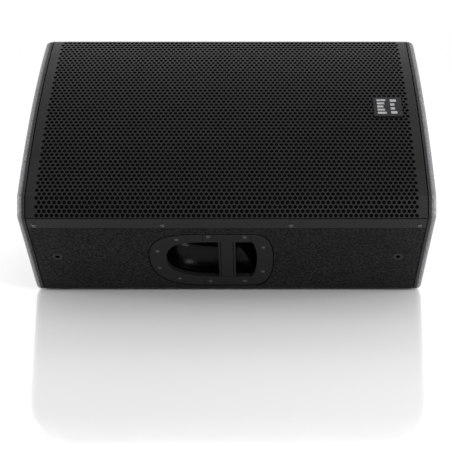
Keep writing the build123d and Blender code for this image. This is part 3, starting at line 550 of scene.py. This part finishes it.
# ---------------------------------------------------------------- material helpers
class Paint:
    """A Principled material, built from patterns in the piece's own coordinates."""

    def __init__(self, name, roughness=0.5, metallic=0.0, **sockets):
        self.material = bpy.data.materials.new(name)
        self.material.use_nodes = True
        self.tree = self.material.node_tree
        self.shader = self.tree.nodes["Principled BSDF"]
        self.shader.inputs["Roughness"].default_value = roughness
        self.shader.inputs["Metallic"].default_value = metallic
        for socket, value in sockets.items():
            self.shader.inputs[socket.replace("_", " ")].default_value = value
        coordinates = self.tree.nodes.new("ShaderNodeTexCoord")
        self.place, self.facing = coordinates.outputs["Object"], coordinates.outputs["Normal"]
        self.height = None

    def link(self, output, node_input):
        self.tree.links.new(output, node_input)

    def stretched(self, stretch, turn=(0, 0, 0)):
        node = self.tree.nodes.new("ShaderNodeMapping")
        node.inputs["Rotation"].default_value = turn
        node.inputs["Scale"].default_value = stretch
        self.link(self.place, node.inputs["Vector"])
        return node.outputs["Vector"]

    def noise(self, size, detail=2.0, stretch=(1, 1, 1), turn=(0, 0, 0)):
        node = self.tree.nodes.new("ShaderNodeTexNoise")
        node.inputs["Scale"].default_value = 1 / size
        node.inputs["Detail"].default_value = detail
        self.link(self.stretched(stretch, turn), node.inputs["Vector"])
        return node.outputs["Fac"]

    def cells(self, size, feature="F1", stretch=(1, 1, 1), turn=(0, 0, 0)):
        node = self.tree.nodes.new("ShaderNodeTexVoronoi")
        node.feature = feature
        node.inputs["Scale"].default_value = 1 / size
        self.link(self.stretched(stretch, turn), node.inputs["Vector"])
        return node.outputs["Distance"]

    def waves(self, size, along="X", distortion=0.0, kind="BANDS", turn=(0, 0, 0)):
        node = self.tree.nodes.new("ShaderNodeTexWave")
        node.wave_type = kind
        setattr(node, "bands_direction" if kind == "BANDS" else "rings_direction", along)
        node.inputs["Scale"].default_value = math.pi / 10 / size
        node.inputs["Distortion"].default_value = distortion
        node.inputs["Detail Scale"].default_value = 1.5
        self.link(self.stretched((1, 1, 1), turn), node.inputs["Vector"])
        return node.outputs["Fac"]

    def spread(self, value, low, high, start=0.3, end=0.7):
        """Takes a pattern's start..end to low..high."""
        node = self.tree.nodes.new("ShaderNodeMapRange")
        for socket, number in (("From Min", start), ("From Max", end), ("To Min", low), ("To Max", high)):
            node.inputs[socket].default_value = number
        self.link(value, node.inputs["Value"])
        return node.outputs["Result"]

    def maths(self, operation, a, b=0.5):
        node = self.tree.nodes.new("ShaderNodeMath")
        node.operation = operation
        for socket, value in zip(node.inputs, (a, b)):
            if isinstance(value, float):
                socket.default_value = value
            else:
                self.link(value, socket)
        return node.outputs["Value"]

    def turned_edge(self, start, full):
        """1 where a surface is turned part of the way from facing along the front to facing along x."""
        split = self.tree.nodes.new("ShaderNodeSeparateXYZ")
        self.link(self.facing, split.inputs["Vector"])
        turn = self.maths("ABSOLUTE", split.outputs["X"])
        rising, falling = self.spread(turn, 0, 1, start, full), self.spread(turn, 1, 0, 0.9, 0.985)
        return self.maths("MULTIPLY", rising, falling)

    def blend(self, value, dark, light):
        """A colour between two, by a pattern. Either may be an output."""
        node = self.tree.nodes.new("ShaderNodeMix")
        node.data_type = "RGBA"
        self.link(value, node.inputs["Factor"])
        for socket, colour in (("A", dark), ("B", light)):
            target = [i for i in node.inputs if i.name == socket and i.type == "RGBA"][0]
            if isinstance(colour, tuple):
                target.default_value = (*colour, 1)
            else:
                self.link(colour, target)
        return [o for o in node.outputs if o.type == "RGBA"][0]

    def colour(self, output):
        self.link(output, self.shader.inputs["Base Color"])
        return self

    def rough(self, output):
        self.link(output, self.shader.inputs["Roughness"])
        return self

    def relief(self, value, height, strength=1.0):
        """Bump of that height in metres, on top of what is there already."""
        node = self.tree.nodes.new("ShaderNodeBump")
        node.inputs["Strength"].default_value = strength
        node.inputs["Distance"].default_value = height
        self.link(value, node.inputs["Height"])
        if self.height is not None:
            self.link(self.height, node.inputs["Normal"])
        self.height = node.outputs["Normal"]
        self.link(self.height, self.shader.inputs["Normal"])
        return self


def shade(colour, factor):
    return tuple(min(1.0, c * factor) for c in colour)


# ---------------------------------------------------------------- materials
def coating(name, colour, grain, relief, roughness, specular):
    """Sprayed polyurea: hard orange peel with a finer grain on it, and faint cloudy patches."""
    paint = Paint(name, roughness, Specular_IOR_Level=specular)
    clouds = paint.noise(0.07, 4)
    mottle = paint.noise(grain * 1.6, 3)
    tone = paint.blend(paint.spread(clouds, 0, 1), shade(colour, 0.72), shade(colour, 1.25))
    tone = paint.blend(paint.spread(mottle, 0, 1, 0.42, 0.58), shade(colour, 0.15), tone)
    paint.colour(tone).rough(paint.spread(mottle, roughness + 0.15, roughness - 0.15))
    paint.relief(paint.cells(grain, "SMOOTH_F1"), relief)
    return paint.relief(paint.noise(grain / 2.5, 3), relief / 2).material


def edge_highlit_coating(name, colour, rim_highlight, grain, relief, roughness, specular):
    """The same coating on the cheeks, with a painted highlight: the colour turns pale and mottled where their
    rounded edges turn from front to side.
    """
    paint = Paint(name, roughness, Specular_IOR_Level=specular)
    mottle = paint.noise(grain * 1.6, 3)
    highlight_mottle = paint.noise(grain * 0.8, 4, stretch=(1, 0.5, 0.5))
    tone = paint.blend(paint.spread(mottle, 0, 1), shade(colour, 0.55), colour)
    pale = paint.blend(paint.spread(highlight_mottle, 0, 1), shade(rim_highlight, 0.3), rim_highlight)
    # Painted highlight: the pale colour on the turned edge stands in for the rim light on the cheeks'
    # round-over.
    paint.colour(paint.blend(paint.turned_edge(0.01, 0.16), tone, pale))
    paint.rough(paint.spread(mottle, roughness + 0.1, roughness - 0.1))
    paint.relief(paint.cells(grain, "SMOOTH_F1"), relief)
    return paint.relief(paint.noise(grain / 2.5, 3), relief / 2).material


def powder_coat(name, colour, roughness, grain=0.7 * MM, specular=0.5):
    """Thin even paint on sheet metal, with a fine dimple and a few duller patches."""
    paint = Paint(name, roughness, Specular_IOR_Level=specular)
    patches = paint.noise(0.05, 3)
    specks = paint.noise(grain, 2)
    tone = paint.blend(paint.spread(patches, 0, 1), shade(colour, 0.85), shade(colour, 1.15))
    tone = paint.blend(paint.spread(specks, 0, 1), shade(colour, 0.75), tone)
    paint.colour(tone).rough(paint.spread(patches, roughness - 0.06, roughness + 0.06))
    return paint.relief(specks, 0.03 * MM).material


def moulded(name, colour, roughness, grain=0.6 * MM, specular=0.5, relief=0.04 * MM, coat=0.0):
    """Moulded plastic with a fine leather grain and slight scuffs."""
    paint = Paint(name, roughness, Specular_IOR_Level=specular, Coat_Weight=coat, Coat_Roughness=0.25)
    scuffs = paint.noise(14 * MM, 5, stretch=(1, 4, 1))
    leather = paint.cells(grain, "SMOOTH_F1")
    tone = paint.blend(paint.spread(scuffs, 0, 1), shade(colour, 0.8), shade(colour, 1.3))
    paint.colour(tone).rough(paint.spread(scuffs, roughness - 0.07, roughness + 0.07))
    return paint.relief(leather, relief).material


def brushed(name, colour, roughness, stretch=(1, 30, 1), turn=(0, 0, 0)):
    """Brushed or turned bare metal: fine lines one way, with a few stains."""
    paint = Paint(name, roughness, 1.0)
    lines = paint.noise(6 * MM, 4, stretch, turn)
    stains = paint.noise(9 * MM, 3)
    tone = paint.blend(paint.spread(lines, 0, 1), shade(colour, 0.75), shade(colour, 1.1))
    tone = paint.blend(paint.spread(stains, 0, 1, 0.35, 0.8), tone, shade(colour, 0.6))
    paint.colour(tone).rough(paint.spread(lines, roughness - 0.08, roughness + 0.12))
    return paint.relief(lines, 0.02 * MM).material


def rubber(name, colour, grain=0.5 * MM):
    paint = Paint(name, 0.75, Specular_IOR_Level=0.3)
    bloom = paint.noise(8 * MM, 4)
    tone = paint.blend(paint.spread(bloom, 0, 1), shade(colour, 0.7), shade(colour, 1.6))
    paint.colour(tone).rough(paint.spread(bloom, 0.65, 0.85))
    return paint.relief(paint.noise(grain, 3), 0.06 * MM).material


def foam(name, colour, pore, depth):
    """Open or closed foam: dark pores in a lighter skeleton."""
    paint = Paint(name, 0.95, Specular_IOR_Level=0.02)
    pores = paint.cells(pore)
    paint.colour(paint.blend(paint.spread(pores, 0, 1, 0.1, 0.6), shade(colour, 0.4), shade(colour, 1.4)))
    return paint.relief(pores, depth).material


def fibre(name, colour, size=1.2 * MM):
    """Felt or pressed paper: tangled fibres of uneven tone."""
    paint = Paint(name, 0.9, Specular_IOR_Level=0.15, Sheen_Weight=0.25)
    strands = paint.noise(size, 6, (1, 5, 1), (0.4, 0.7, 0.2))
    across = paint.noise(size, 6, (5, 1, 2), (1.1, 0.2, 0.9))
    tone = paint.blend(paint.spread(strands, 0, 1), shade(colour, 0.5), shade(colour, 1.35))
    tone = paint.blend(paint.spread(across, 0, 1), shade(colour, 0.7), tone)
    paint.colour(tone).relief(strands, 0.3 * MM)
    return paint.relief(across, 0.3 * MM).material


def woven(name, colour, thread=0.8 * MM, roughness=0.8):
    """Plain woven cloth: threads both ways, dipped in resin."""
    paint = Paint(name, roughness, Specular_IOR_Level=0.3)
    warp = paint.waves(thread, "X")
    weft = paint.waves(thread, "Y", turn=(-TILT, 0, 0))
    patches = paint.noise(12 * MM, 3)
    tone = paint.blend(warp, shade(colour, 0.55), shade(colour, 1.2))
    tone = paint.blend(weft, shade(colour, 0.6), tone)
    paint.colour(tone).rough(paint.spread(patches, roughness - 0.1, roughness + 0.1))
    paint.relief(warp, 0.12 * MM)
    return paint.relief(weft, 0.12 * MM).material


def plywood(name, face, layer):
    """Birch ply: long grain on the faces, thin dark glue lines through the thickness."""
    paint = Paint(name, 0.6, Specular_IOR_Level=0.3)
    grain = paint.noise(9 * MM, 6, (0.12, 1, 1))
    pores = paint.noise(1.2 * MM, 3, (0.1, 1, 1))
    glue = paint.waves(1.5 * MM, "Z", turn=(-TILT, 0, 0))
    tone = paint.blend(paint.spread(grain, 0, 1), shade(face, 0.7), shade(face, 1.2))
    tone = paint.blend(paint.spread(pores, 0, 1), shade(face, 0.6), tone)
    tone = paint.blend(paint.spread(glue, 0, 1, 0.85, 0.95), tone, layer)
    paint.colour(tone).rough(paint.spread(grain, 0.5, 0.7))
    return paint.relief(pores, 0.1 * MM).material


def wound_wire(name, colour):
    paint = Paint(name, 0.3, 0.9)
    turns = paint.waves(0.35 * MM, "Z", turn=(-TILT, 0, 0))
    tarnish = paint.noise(5 * MM, 3)
    tone = paint.blend(turns, shade(colour, 0.35), colour)
    tone = paint.blend(paint.spread(tarnish, 0, 0.6), tone, shade(colour, 0.5))
    paint.colour(tone).rough(paint.spread(tarnish, 0.25, 0.45))
    return paint.relief(turns, 0.1 * MM).material


def ceramic(name, colour):
    """Sintered and ground magnet."""
    paint = Paint(name, 0.5, Specular_IOR_Level=0.4)
    grains = paint.noise(0.8 * MM, 4)
    chips = paint.cells(7 * MM)
    tone = paint.blend(paint.spread(grains, 0, 1), shade(colour, 0.7), shade(colour, 1.4))
    paint.colour(tone).rough(paint.spread(chips, 0.4, 0.65, 0.1, 0.7))
    return paint.relief(grains, 0.05 * MM).material


def circuit(name, colour):
    """Solder mask over tracks and pads."""
    paint = Paint(name, 0.35, Coat_Weight=0.4, Coat_Roughness=0.2)
    tracks = paint.cells(6 * MM, "DISTANCE_TO_EDGE")
    pads = paint.cells(3.5 * MM)
    tone = paint.blend(paint.spread(tracks, 0, 1, 0.04, 0.08), shade(colour, 1.7), colour)
    tone = paint.blend(paint.spread(pads, 0, 1, 0.1, 0.14), (0.55, 0.45, 0.2), tone)
    paint.colour(tone).rough(paint.spread(pads, 0.25, 0.4, 0.1, 0.2))
    return paint.relief(tracks, 0.05 * MM).material


def lens(name, colour):
    """Tinted clear plastic with moulded facets inside."""
    paint = Paint(name, 0.12, Coat_Weight=1.0, Coat_Roughness=0.05, Emission_Strength=0.15)
    facets = paint.cells(0.7 * MM, "SMOOTH_F1")
    tone = paint.blend(paint.spread(facets, 0, 1, 0.1, 0.6), shade(colour, 1.3), shade(colour, 0.5))
    paint.colour(tone).rough(paint.spread(facets, 0.08, 0.2))
    paint.link(tone, paint.shader.inputs["Emission Color"])
    return paint.relief(facets, 0.05 * MM).material


def make_materials():
    return {
        "coated_plywood": coating("wall_coating", (0.0085, 0.0085, 0.009), 2.4 * MM, 0.45 * MM, 0.55, 0.09),
        # The cheeks' second, pale colour is a painted highlight on their rounded edges.
        "coated_cheek": edge_highlit_coating("cheek_coating", (0.024, 0.024, 0.0255), (0.17, 0.17, 0.18), 2.2 * MM,
                                     0.4 * MM, 0.5, 0.16),
        "inner_plywood": plywood("stained_plywood", (0.07, 0.055, 0.042), (0.02, 0.014, 0.01)),
        "damping_felt": fibre("grey_wadding", (0.2, 0.2, 0.21)),
        "grille_steel": powder_coat("grille_paint", (0.009, 0.009, 0.0096), 0.42, specular=0.16),
        "black_screws": powder_coat("blackened_screws", (0.03, 0.03, 0.031), 0.25, 0.4 * MM, 0.45),
        "black_steel": powder_coat("blackened_steel", (0.008, 0.008, 0.008), 0.35, specular=0.22),
        "open_foam": foam("open_cell_foam", (0.0015, 0.0015, 0.0015), 1.1 * MM, 0.5 * MM),
        "gasket_foam": foam("closed_cell_foam", (0.02, 0.02, 0.02), 0.5 * MM, 0.1 * MM),
        "badge_metal": brushed("badge_plate", (0.035, 0.035, 0.037), 0.45, (1, 18, 1)),
        "foot_rubber": rubber("foot_rubber", (0.02, 0.02, 0.02)),
        "black_aluminium": brushed("black_anodising", (0.028, 0.028, 0.03), 0.42, (20, 1, 1)),
        "surround_cloth": woven("doped_cloth", (0.03, 0.03, 0.03), 0.8 * MM, 0.6),
        "cone_paper": fibre("coated_paper", (0.04, 0.04, 0.042), 0.9 * MM),
        "coil_copper": wound_wire("enamelled_copper", (0.65, 0.3, 0.12)),
        "spider_cloth": woven("resin_cloth", (0.45, 0.33, 0.12), 0.7 * MM, 0.7),
        "zinc_steel": brushed("zinc_plate", (0.5, 0.5, 0.52), 0.35, (1, 12, 1)),
        "ferrite": ceramic("ferrite", (0.05, 0.05, 0.055)),
        "horn_plastic": moulded("horn_plastic", (0.02, 0.02, 0.022), 0.4, 0.8 * MM),
        "titanium_dome": brushed("formed_titanium", (0.5, 0.5, 0.53), 0.25, (6, 6, 1)),
        "panel_aluminium": powder_coat("panel_paint", (0.028, 0.028, 0.03), 0.45, 0.8 * MM),
        "circuit_board": circuit("circuit_board", (0.03, 0.16, 0.07)),
        "socket_plastic": moulded("socket_plastic", (0.018, 0.018, 0.02), 0.35, 0.5 * MM),
        "latch_steel": brushed("satin_steel", (0.55, 0.55, 0.57), 0.3, (14, 1, 1)),
        "knob_plastic": moulded("soft_touch_plastic", (0.03, 0.03, 0.032), 0.6, 0.4 * MM, 0.3),
        "light_lens": lens("light_lens", (0.08, 0.5, 0.15)),
        "rocker_plastic": moulded("rocker_plastic", (0.02, 0.02, 0.022), 0.2, 2 * MM,
                                  relief=0.01 * MM, coat=0.5),
        "cable_sheath": rubber("cable_sheath", (0.03, 0.03, 0.03), 0.8 * MM),
        "handle_plastic": moulded("handle_plastic", (0.006, 0.006, 0.0064), 0.42, 1.4 * MM, 0.12, 0.08 * MM),
        # The cup is glossier than the handle, which is its own finish. Its near-black base colour, far darker
        # than the handle's, is painted shade for the deep recess.
        "cup_plastic": moulded("cup_plastic", (0.0008, 0.0008, 0.0008), 0.25, 2.5 * MM, 0.12, 0.02 * MM),
        "panel_ink": powder_coat("panel_ink", (0.55, 0.55, 0.55), 0.6, 0.4 * MM),
        # Near-black, near-matte material for the strips of painted shade in gaps, slits and grooves.
        "painted_shade_black": foam("painted_shade_black", (0.0015, 0.0015, 0.0015), 0.8 * MM, 0.05 * MM),
        "badge_silver": brushed("badge_silver", (0.42, 0.42, 0.44), 0.45, (16, 1, 1)),
    }


def set_material(piece, material):
    piece.data.materials.clear()
    piece.data.materials.append(material)


def paint_nodes(materials):
    for part in frame["record"]["subparts"]:
        set_material(nodes[part["node"]], materials[part["material_slot"]])
    # The cups take the darker cup_plastic, whose base colour is painted shade for the recess.
    for cup in ("near_handle_cup", "far_handle_cup"):
        set_material(nodes[cup], materials["cup_plastic"])


# ---------------------------------------------------------------- surroundings
def build_stage():
    """A pale plain floor."""
    half, y_near, y_far = 14, -9, 30
    mesh = bpy.data.meshes.new("floor")
    corners = [(-half, y_near, 0), (half, y_near, 0), (half, y_far, 0), (-half, y_far, 0)]
    mesh.from_pydata(corners, [], [(0, 1, 2, 3)])
    floor = bpy.data.objects.new("floor", mesh)
    bpy.context.scene.collection.objects.link(floor)
    paint = Paint("pale_floor", 0.12, Specular_IOR_Level=0.5, Coat_Weight=1.0, Coat_IOR=2.8,
                  Coat_Roughness=0.06)
    paint.colour(paint.blend(paint.noise(0.5, 2), (0.74, 0.74, 0.74), (0.77, 0.77, 0.77)))
    floor.data.materials.append(paint.material)


def soft_light(name, place, aim, size, power):
    light = bpy.data.lights.new(name, "AREA")
    light.shape, light.size, light.size_y = "RECTANGLE", size[0], size[1]
    light.energy = power
    lamp = bpy.data.objects.new(name, light)
    lamp.location = place
    lamp.rotation_euler = (Vector(aim) - Vector(place)).to_track_quat("-Z", "Y").to_euler()
    bpy.context.scene.collection.objects.link(lamp)


def build_lights():
    middle = (0, 0, 0.2)
    soft_light("top_back", (0, 1.5, 2.0), middle, (2.4, 0.8), 14)
    soft_light("left_side", (-1.7, -0.25, 0.28), middle, (0.5, 0.55), 30)
    soft_light("right_side", (1.7, -0.25, 0.28), middle, (0.5, 0.55), 30)
    soft_light("front", (1.3, -2.1, 1.65), middle, (0.55, 0.45), 32)
    world = bpy.data.worlds.new("studio")
    world.use_nodes = True
    bpy.context.scene.world = world
    background = world.node_tree.nodes["Background"]
    background.inputs["Color"].default_value = (1, 1, 1, 1)
    background.inputs["Strength"].default_value = 1.05
    bpy.context.scene.view_settings.view_transform = "Standard"


def build_camera():
    data = bpy.data.cameras.new("camera")
    data.lens, data.sensor_width = 78.85, 36
    data.shift_x = -0.057
    camera = bpy.data.objects.new("camera", data)
    camera.location = (0.0418, -1.8652, 0.6124)
    camera.rotation_euler = (math.radians(90 - 16.1), 0, 0)
    bpy.context.scene.collection.objects.link(camera)
    bpy.context.scene.camera = camera


materials = make_materials()
paint_nodes(materials)
set_material(build_grille(), materials["grille_steel"])
# The two strip pieces below are near-black painted shade in the grille's folds and round the handles.
set_material(build_shade_strips(), materials["painted_shade_black"])
set_material(build_handle_shade_strips(), materials["painted_shade_black"])
set_material(build_foam(), materials["open_foam"])
set_material(build_wadding(), materials["damping_felt"])
for sector in build_flexing("woofer_surround", *SURROUND_RADII, "surround_cloth"):
    set_material(sector, materials["surround_cloth"])
for sector in build_flexing("woofer_spider", *SPIDER_RADII, "spider_cloth"):
    set_material(sector, materials["spider_cloth"])
set_material(build_badge_marks(), materials["badge_silver"])
set_material(build_panel_marks(), materials["panel_ink"])
build_stage()
build_lights()
build_camera()
